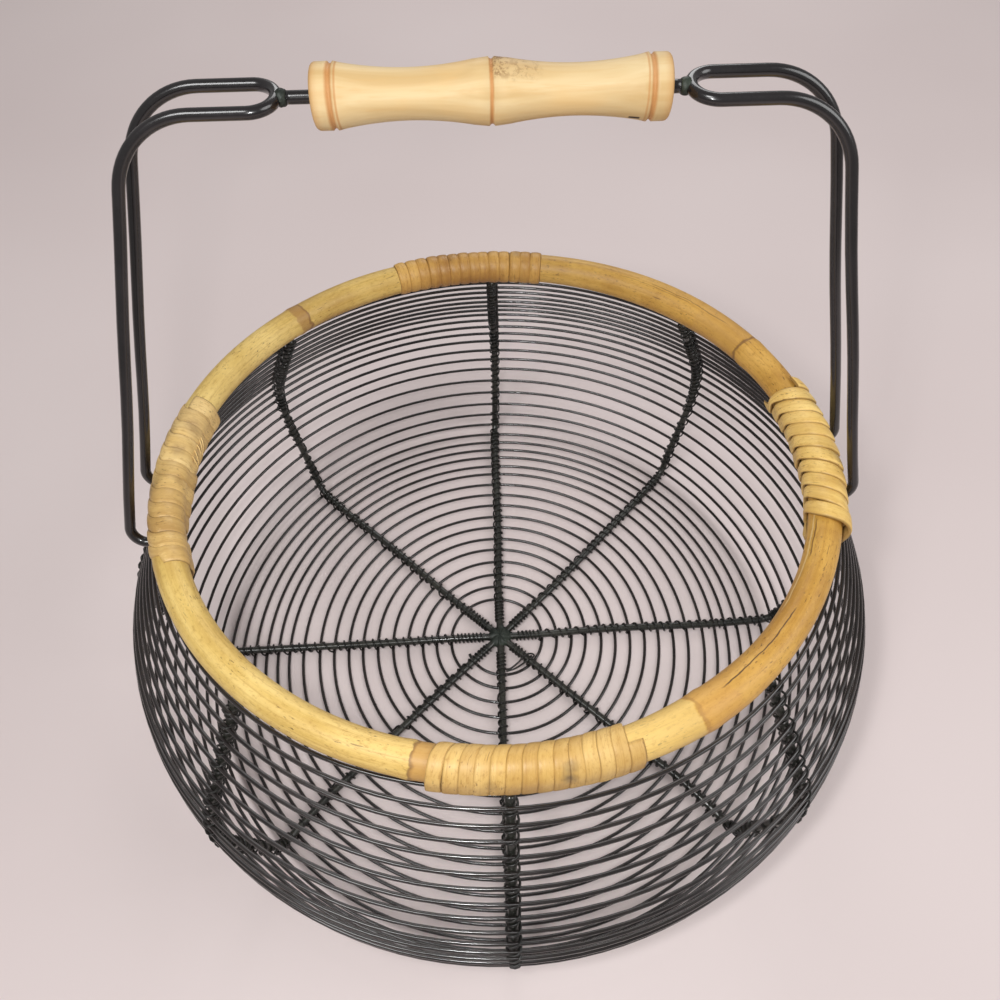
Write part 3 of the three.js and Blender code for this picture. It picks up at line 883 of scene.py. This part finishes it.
def winding(name, crown, shingle, slant, seed, seam, thick=0.5, fill=1.1, loose=0.0, slit=0.0,
            bulge=0.0, step_from=STEP_FROM, step_to=STEP_TO, trim=0.0, jitter=1.0):
    """Rings of one strip wound round the cane and what is held below it.

    thick is the strip's height, crown the rise in its middle, seam the drop at its edges and
    shingle its tilt. slant sets the turns askew, fill is the share of its place that a turn fills,
    loose lifts the strip off the cane, slit narrows it inside and bulge lifts its start. It steps
    on to its next turn between two angles, trim takes degrees off its upper side's end, and jitter
    makes the turns uneven.
    """
    ends, middle, side = WRAPS[name]
    places = strip_places(ends, middle, side)
    count = len(places)
    spread = places[-1] - rad(trim) - places[0]
    evenly = [places[0] + spread * k / (count - 1) for k in range(count)]
    dice = random.Random(seed)
    shift = [jitter * dice.uniform(-0.35, 0.35) for _ in range(count + 1)]
    height = [jitter * dice.uniform(-0.12, 0.18) for _ in range(count + 1)]
    speed = rim_speed(middle)
    held_radius = {"wrap_back": 0, "wrap_front": WIRE / 2}.get(name, ROD / 2)
    # Section: a crowned top from edge to edge, and a flat underside
    at = np.linspace(-1, 1, STRIP_POINTS)
    edge = seam * np.maximum(0, abs(at) - 0.75) / 0.25
    top = thick + crown * (1 - at ** 2) - shingle * at - edge
    heights = np.append(top, [-STRIP_DEPTH] * 2)

    def turn_at(turn, angle):
        """Azimuth of a turn at an angle round the cane: in its gate below, evenly spread above."""
        here, after = min(turn, count - 1), min(turn + 1, count - 1)
        low = eased(1 - abs(degrees_off(angle, GATE_ANGLE)) / 110) if side else 0
        moved = eased((angle - step_from) / (step_to - step_from))
        a = evenly[here] * (1 - low) + places[here] * low
        b = evenly[after] * (1 - low) + places[after] * low
        return a * (1 - moved) + b * moved

    rings = []
    for turn in range(count):
        for step in range(STRIP_STEPS):
            part = step / STRIP_STEPS
            angle = step_to - 360 + 360 * part
            if turn == count - 1 and angle > step_from:
                break
            # Place along the rim, and how far the strip reaches to both sides
            here = turn_at(turn, angle)
            before = turn_at(turn - 1, angle) if turn else 2 * here - turn_at(1, angle)
            after = turn_at(turn + 1, angle) if turn + 1 < count else 2 * here - before
            wide_back = min((here - before) * speed * fill / 2, WIDEST_HALF)
            wide_on = min((after - here) * speed * fill / 2, WIDEST_HALF)
            wide_back *= 1 - slit * max(0, -math.cos(rad(angle - 10))) ** 4
            moved = shift[turn] * (1 - part) + shift[turn + 1] * part
            tilt = slant * math.sin(rad(angle - 60))
            astray = bulge * math.cos(rad(angle + 20)) if turn == 0 else 0
            azimuth = here + (moved + tilt + 1.5 * astray) / speed
            # Distance from the cane's centre: over the cane or over what is held, whichever is more
            centre = rim_point(azimuth)
            along, across = rim_axes(azimuth)
            normal = round_cane(across, rad(angle))
            cane_reach = cane_radius(azimuth) + 0.08 + loose
            held_reach = (held_point(name, azimuth) - centre).dot(normal) + held_radius + 0.1
            reach = SOFT * np.logaddexp(cane_reach / SOFT, held_reach / SOFT)
            uneven_lift = height[turn] * (1 - part) + height[turn + 1] * part
            lift = reach + uneven_lift + 1.2 * max(0, astray)
            offsets = np.append(at * np.where(at > 0, wide_on, wide_back), [wide_on, -wide_back])
            rings.append(centre + np.outer(offsets, along) + np.outer(lift + heights, normal))
    return np.array(rings)


def strip_look(name, colours, rings, seam, uneven_seam_shade):
    """Cane skin with painted shade in the seams at the strip's edges, and turns of a deeper tone.
    """
    look, colour = cane_look(name + "_skin", colours, along=1.5, fibres=0.55)
    top = np.diff(rings[:, :STRIP_POINTS], axis=1)
    wide = np.linalg.norm(top, axis=2).mean(0).sum() * MM
    across = look.split(look.grain(1, 1))[1]
    across = look.math("ADD", across, look.times(look.noise(look.grain(150, 150), 2), 0.0005))
    # Painted shade: the colour darkens towards both edges of the strip, in the creases between
    # turns; seam sets how much
    inside = look.band(across, wide / 2 + 0.00025, wide / 2 - 0.0006, 0.0007)
    dark = 0.3 + 1.3 * seam
    line = look.math("SUBTRACT", dark, look.times(inside, dark))
    if uneven_seam_shade:
        along = look.noise(look.grain(45, 1), 2, 0.6)
        line = look.times(line, look.between(along, 0.42, 0.58, 1 - uneven_seam_shade, 1.3))
    colour = look.mix(line, colour, colours[3])
    turn_tone = look.noise(look.grain(32, 1), 2, 0.6)
    return look, look.mix(look.between(turn_tone, 0.4, 0.62, 0, 0.4), colour, colours[2])


def stained(look, colour, stain):
    """A soft stain: azimuth, angle round the cane, radius in mm, tone and strength."""
    azimuth, angle, radius, tone, strength = stain
    _, across = rim_axes(rad(azimuth))
    at = rim_point(rad(azimuth)) + (CANE / 2 + 1) * round_cane(across, rad(angle))
    gap = look.node("VectorMath", {0: look.object(1), 1: tuple(at * MM)},
                    operation="DISTANCE").outputs["Value"]
    spread = look.math("ADD", gap, look.times(look.noise(look.object(260), 2), radius * MM))
    spot = look.between(spread, radius * MM * 0.6, radius * MM * 1.5, strength, 0)
    return look.mix(spot, colour, tone)


def wrap(name, colours, seam=0.3, uneven_seam_shade=0.0, stains=(), **shape):
    # seam sets both the drop at the strip's edges and the painted shade there
    rings = winding(name, seam=seam, **shape)
    look, colour = strip_look(name, colours, rings, seam, uneven_seam_shade)
    for stain in stains:
        colour = stained(look, colour, stain)
    look.finish(colour)
    piece(name + "_strip", [rings], look.material, [name])


BARK = srgb(112, 76, 40)
SOOT = srgb(84, 72, 60)
GREY = srgb(96, 84, 70)
LEFT_COLOURS = (srgb(236, 204, 138), srgb(220, 184, 114), srgb(178, 140, 80), srgb(84, 58, 30))

wrap("wrap_back", (srgb(222, 178, 98), srgb(204, 157, 78), srgb(160, 112, 50), srgb(72, 46, 22)),
     crown=0.38, shingle=0.05, slant=-0.4, seed=71, seam=0.25, step_from=-40, step_to=60,
     stains=[(84, 80, 4, BARK, 0.5), (98, 100, 3, BARK, 0.4), (90, 60, 3, BARK, 0.4)])
wrap("wrap_front", (srgb(226, 190, 118), srgb(209, 169, 94), srgb(174, 130, 64), srgb(104, 70, 34)),
     crown=0.1, shingle=0.06, slant=0.3, seed=72, fill=1.08, loose=0.25, seam=0.1,
     uneven_seam_shade=0.9,
     stains=[(278.3, 26, 3.4, SOOT, 0.8), (278.6, 56, 3, GREY, 0.35), (268, 20, 3, BARK, 0.35)])
wrap("wrap_left", LEFT_COLOURS,
     crown=0.32, shingle=0.12, slant=0.4, seed=73, thick=0.4, loose=-0.15, step_from=-10,
     step_to=80, jitter=0.5,
     stains=[(170, 130, 5, BARK, 0.5), (176, 110, 4, BARK, 0.4), (183, 140, 3, BARK, 0.4)])
wrap("wrap_right",
     (srgb(255, 222, 142), srgb(243, 204, 118), srgb(204, 160, 80), srgb(104, 70, 34)),
     crown=0.2, shingle=0.3, slant=1.6, seed=74, loose=0.95, slit=0.45, bulge=1.0, trim=3)


def frayed_fibres():
    """A few fibres that stand off the left winding, on its inner side."""
    dice = random.Random(81)
    parts = []
    for k in range(5):
        azimuth = rad(170.5 + 1.2 * k + dice.uniform(-0.7, 0.7))
        along, across = rim_axes(azimuth)
        normal = round_cane(across, rad(178 + dice.uniform(-18, 12)))
        root = rim_point(azimuth) + normal * (CANE / 2 + 0.5)
        bend = root + normal * 1.1 + along * dice.uniform(0.8, 2.2) - UP
        tip = bend + normal * dice.uniform(0.4, 1.2) + along * dice.uniform(1.5, 3) - UP * 2.2
        path = curve([root, bend, tip], 4)
        radii = np.linspace(0.26, 0.1, len(path))
        parts.append(rings_round(path, radii, 6))
    look, _ = cane_look("frayed_skin", LEFT_COLOURS, marks=False)
    piece("frayed_fibres", parts, look.material)


frayed_fibres()


# Handle

BEND_STEP = rad(5)
STRAIGHT_STEP = 12

LEG_RISE = HANDLE_HEIGHT - BAR_HEIGHT
HANDLE_Y = LEG_RISE * math.tan(rad(HANDLE_LEAN))
LEG_X = rim_point(0)[0] + LEG_REACH
SHOULDER_X = LEG_X - LEG_RISE * math.tan(rad(LEG_SLOPE_IN))
EYE_X = (GRIP_LENGTH + GRIP_PLAY + ROD) / 2
ROD_END = EYE_X - ROD_HALF - CLEAR


def rounded_loop(corners):
    """A closed path with its corners, given as points and bend radii, rounded to arcs."""
    points = []
    for i, (at, bend) in enumerate(corners):
        at = Vector(at)
        back = (Vector(corners[i - 1][0]) - at).normalized()
        on = (Vector(corners[(i + 1) % len(corners)][0]) - at).normalized()
        half = back.angle(on) / 2
        centre = at + (back + on).normalized() * (bend / math.sin(half))
        start = at + back * (bend / math.tan(half)) - centre
        axis = back.cross(on).normalized()
        sweep = math.pi - 2 * half
        steps = max(3, math.ceil(sweep / BEND_STEP))
        for k in range(steps + 1):
            points.append(np.array(Matrix.Rotation(-sweep * k / steps, 3, axis) @ start + centre))
    filled = []
    for a, b in zip(points, points[1:] + points[:1]):
        count = max(1, round(np.linalg.norm(b - a) / STRAIGHT_STEP))
        filled += [a + (b - a) * k / count for k in range(count)]
    return filled


def handle_loop(side):
    """Rings of one leg loop: an eye by the grip, two strands down, and a crossbar."""
    strand = STRAND_SPACING / 2
    eye_bend = strand * EYE_ROUNDNESS
    at = bar_place(side)
    front, back = at - LEG_SPREAD / 2, at + LEG_SPREAD / 2
    corners = [
        ((EYE_X, HANDLE_Y - strand, HANDLE_HEIGHT), eye_bend),
        ((SHOULDER_X, HANDLE_Y - strand, HANDLE_HEIGHT), HANDLE_BEND),
        ((LEG_X, front, BAR_HEIGHT), FOOT_BEND),
        ((bar_x(at), front, BAR_HEIGHT), FOOT_BEND),
        ((bar_x(at), back, BAR_HEIGHT), FOOT_BEND),
        ((LEG_X, back, BAR_HEIGHT), FOOT_BEND),
        ((SHOULDER_X, HANDLE_Y + strand, HANDLE_HEIGHT), HANDLE_BEND),
        ((EYE_X, HANDLE_Y + strand, HANDLE_HEIGHT), eye_bend),
    ]
    path = rounded_loop([((side * x, y, z), bend) for (x, y, z), bend in corners])
    sway = wavy(90 + side, 5, 0.02, 0.08)
    path = [p + np.array([0.25 * sway(p[2] + p[1]), 0.2 * sway(p[2] * 1.3 + 50), 0]) for p in path]
    return rings_round(path, ROD / 2, 14, closed=True)


def turned(outline, sides, lumps=None):
    """Rings round the grip's axis, from places along X and radii."""
    rings = []
    for x, r in outline:
        ring = []
        for j in range(sides):
            angle = -TURN * j / sides
            radius = r * (1 + (lumps(angle * 2 + x) if lumps else 0))
            ring.append((x, HANDLE_Y + radius * math.cos(angle),
                         HANDLE_HEIGHT + radius * math.sin(angle)))
        rings.append(ring)
    return rings


def through_rod():
    tip = 0.3
    straight = [(x, ROD / 2) for x in np.linspace(-ROD_END + 2, ROD_END - 2, 12)]
    outline = [(-ROD_END, tip), (-ROD_END, ROD / 2), *straight, (ROD_END, ROD / 2), (ROD_END, tip)]
    piece("through_rod", [turned(outline, 16)], handle_black, ["grip_rod"])


def weld_bead(side, name):
    """A small lumpy weld between the rod and an eye."""
    ripple = wavy(60 + side, 5, 1, 4)
    outline = []
    for k in range(9):
        part = k / 8
        radius = ROD / 2 - 0.1 + 0.65 * math.sin(math.pi * part) ** 0.7 + 0.02
        outline.append((side * (ROD_END - 0.8 + 3 * part), radius))
    rings = turned(outline[::side], 20, lambda v: 0.07 * ripple(v))
    piece(f"bead_{name}", [rings], weld_green, [f"weld_{name}"])


SIDES = ((-1, "left"), (1, "right"))
for side, name in SIDES:
    piece(f"handle_rod_{name}", [handle_loop(side)], handle_black,
          [f"handle_loop_{name}"], closed=True)
through_rod()
for side, name in SIDES:
    weld_bead(side, name)


# Grip

GRIP_ROUND = 1.4
BORE_EDGE = 0.4

# Browner lines in and beside the grooves: place from the grip's middle, width and strength
END_GROOVE = GRIP_LENGTH / 2 - COLLAR - GROOVE_WIDTH / 2
GROOVE_LINES = [
    (-END_GROOVE, 1, 0.7),
    (1.6 - END_GROOVE, 0.3, 0.6),
    (0, 0.55, 0.75),
    (END_GROOVE, 0.9, 0.7),
    (END_GROOVE - 1.5, 0.3, 0.5),
]
# The smudge right of the middle: place along X, length, height over the axis and strength
SMUDGES = [(4.4, 2.2, 7.2, 0.8), (10.5, 4, 6.4, 0.45)]
NICK_X = 40.5
NICK_DROP = 5.2


def groove(at, full):
    return [(at + GROOVE_WIDTH * k / 6, full - GROOVE_DEPTH * math.sin(math.pi * k / 6))
            for k in range(7)]


def grip():
    """The right half of the outline from the middle to the bore, and its mirror image."""
    half, full, waist = GRIP_LENGTH / 2, GRIP_DIAMETER / 2, WAIST_DIAMETER / 2
    bore = ROD / 2 + BORE_CLEARANCE
    collar = half - COLLAR
    start, end = MIDDLE_RING / 2, collar - GROOVE_WIDTH
    right = groove(-GROOVE_WIDTH / 2, full)[3:]
    for k in range(1, 20):
        part = k / 20
        dip = (full - waist) * math.sin(math.pi * part) ** 0.8
        right.append((start + (end - start) * part, full - dip))
    right += groove(end, full)
    right += [(collar + (COLLAR - GRIP_ROUND) * k / 3, full - 0.02) for k in range(1, 4)]
    for a in (20, 40, 60, 80):
        right.append((half - GRIP_ROUND + GRIP_ROUND * math.sin(rad(a)),
                      full - GRIP_ROUND + GRIP_ROUND * math.cos(rad(a))))
    right += [(half, full - GRIP_ROUND - 0.2), (half, bore + BORE_EDGE),
              (half - BORE_EDGE, bore), (half / 2, bore)]
    left = [(-x, r) for x, r in right[1:]][::-1]
    outline = [(x + GRIP_SHIFT, r) for x, r in left + right]
    piece("grip_wood", [turned(outline, 48)], grip_look(), ["grip"], body="grip",
          closed=True)


def grip_look():
    """Pale turned wood: long figure, browner grooves and ends, a smudge and a small dark nick."""
    look = Look("turned_wood", Coat_Weight=0.05, Coat_Roughness=0.5, Specular_IOR_Level=0.3)
    fine = look.noise(look.object(30, 900, 900), 3, 0.6)
    figure = look.noise(look.object(9, 150, 150), 3, 0.55, 0.6)
    patch = look.noise(look.object(40, 60, 60), 3, 0.5)
    colour = look.ramp(figure, [
        (0.35, srgb(206, 174, 121)), (0.5, srgb(217, 189, 139)), (0.65, srgb(224, 200, 154))])
    colour = look.mix(look.between(fine, 0.52, 0.72, 0, 0.35), colour, srgb(212, 172, 114))
    colour = look.mix(look.between(patch, 0.52, 0.72, 0, 0.4), colour, srgb(226, 186, 124))
    x, y, z = look.split(look.object(1))
    wavy_x = look.math("ADD", x, look.wander(patch, 0.0012))
    for at, wide, strength in GROOVE_LINES:
        mark = look.band(wavy_x, (at + GRIP_SHIFT) * MM, wide * 0.35 * MM, wide * MM)
        colour = look.tint(colour, mark, strength, srgb(190, 124, 62))
    specks = look.noise(look.object(600), 4, 0.75)
    for at, length, height, strength in SMUDGES:
        along = look.band(wavy_x, at * MM, length * 0.5 * MM, length * MM)
        up = look.between(z, (HANDLE_HEIGHT + height - 1.6) * MM,
                          (HANDLE_HEIGHT + height + 0.6) * MM)
        smudge = look.times(look.times(along, up), look.between(specks, 0.45, 0.6, 0.15, 1))
        colour = look.tint(colour, smudge, strength, srgb(122, 82, 42))
    half = GRIP_LENGTH / 2
    for side in (-1, 1):
        out = look.times(look.math("SUBTRACT", wavy_x, GRIP_SHIFT * MM), side)
        edge = look.between(out, (half - 3) * MM, half * MM, 0, 0.65)
        colour = look.mix(edge, colour, srgb(196, 146, 88))
    nick = look.times(look.band(x, NICK_X * MM, 0.0012, 0.0005),
                      look.band(z, (HANDLE_HEIGHT - NICK_DROP) * MM, 0.0003, 0.0004))
    nick = look.times(nick, look.between(y, HANDLE_Y * MM, (HANDLE_Y - 2) * MM))
    colour = look.mix(nick, colour, srgb(58, 40, 26))
    rough = look.between(figure, 0.3, 0.7, 0.5, 0.62)
    return look.finish(colour, rough, look.bump(fine, 0.00012, 0.5))


grip()


# Floor, light and camera, in metres

FLOOR_HALF = 6
FLOOR_DROP = 0.0002
CAMERA_AT = (-0.94 * MM, -182.05 * MM, 380.14 * MM)
CAMERA_DOWN = 54.9
CAMERA_YAW = 0.74
CAMERA_ROLL = -1.28
FOCAL_LENGTH = 830.6 / 1000  # in widths of the picture
SENSOR = 36


def stage():
    look = Look("pale_floor", Roughness=0.9)
    soft = look.noise(look.object(3), 2, 0.5)
    look.finish(look.ramp(soft, [(0.3, srgb(222, 208, 206)), (0.7, srgb(229, 216, 214))]))
    mesh = bpy.data.meshes.new("floor")
    corners = [(x, y, 0) for x, y in ((-1, -1), (1, -1), (1, 1), (-1, 1))]
    mesh.from_pydata(np.array(corners) * FLOOR_HALF, [], [(0, 1, 2, 3)])
    mesh.materials.append(look.material)
    floor = added("floor", mesh)
    floor.location.z = -FLOOR_DROP


def lamp(name, at, towards, size, power):
    data = bpy.data.lights.new(name, "AREA")
    data.shape = "DISK"
    data.size = size
    data.energy = power
    obj = added(name, data)
    obj.location = at
    obj.rotation_euler = (Vector(towards) - Vector(at)).to_track_quat("-Z", "Y").to_euler()


def camera():
    down, yaw, roll = rad(CAMERA_DOWN), rad(CAMERA_YAW), rad(CAMERA_ROLL)
    forward = Vector((math.sin(yaw) * math.cos(down), math.cos(yaw) * math.cos(down),
                      -math.sin(down)))
    level = Vector((math.cos(yaw), -math.sin(yaw), 0))
    below = forward.cross(level)
    right = level * math.cos(roll) - below * math.sin(roll)
    up = -(level * math.sin(roll) + below * math.cos(roll))
    data = bpy.data.cameras.new("camera")
    data.sensor_width = SENSOR
    data.lens = FOCAL_LENGTH * SENSOR
    data.clip_start = 0.01
    obj = added("camera", data)
    axes = Matrix((right, up, -forward)).transposed()
    obj.matrix_world = Matrix.Translation(CAMERA_AT) @ axes.to_4x4()
    bpy.context.scene.camera = obj


def surroundings():
    world = bpy.data.worlds.new("world")
    bpy.context.scene.world = world
    world.use_nodes = True
    inputs = world.node_tree.nodes["Background"].inputs
    inputs["Color"].default_value = (0.93, 0.9, 0.9, 1)
    inputs["Strength"].default_value = 0.3


stage()
lamp("key", (-0.5, -0.6, 1.3), towards=(0, 0, 0.05), size=0.5, power=7)
lamp("fill", (0.9, -0.3, 0.9), towards=(0, 0, 0.1), size=0.8, power=5.4)
lamp("back", (0.1, 1.1, 0.8), towards=(0, 0, 0.1), size=0.7, power=3.2)
lamp("flash", (-0.036, -0.175, 0.385), towards=(0, 0, 0.05), size=0.03, power=0.4)
camera()
surroundings()
bpy.context.scene.view_settings.view_transform = "Standard"
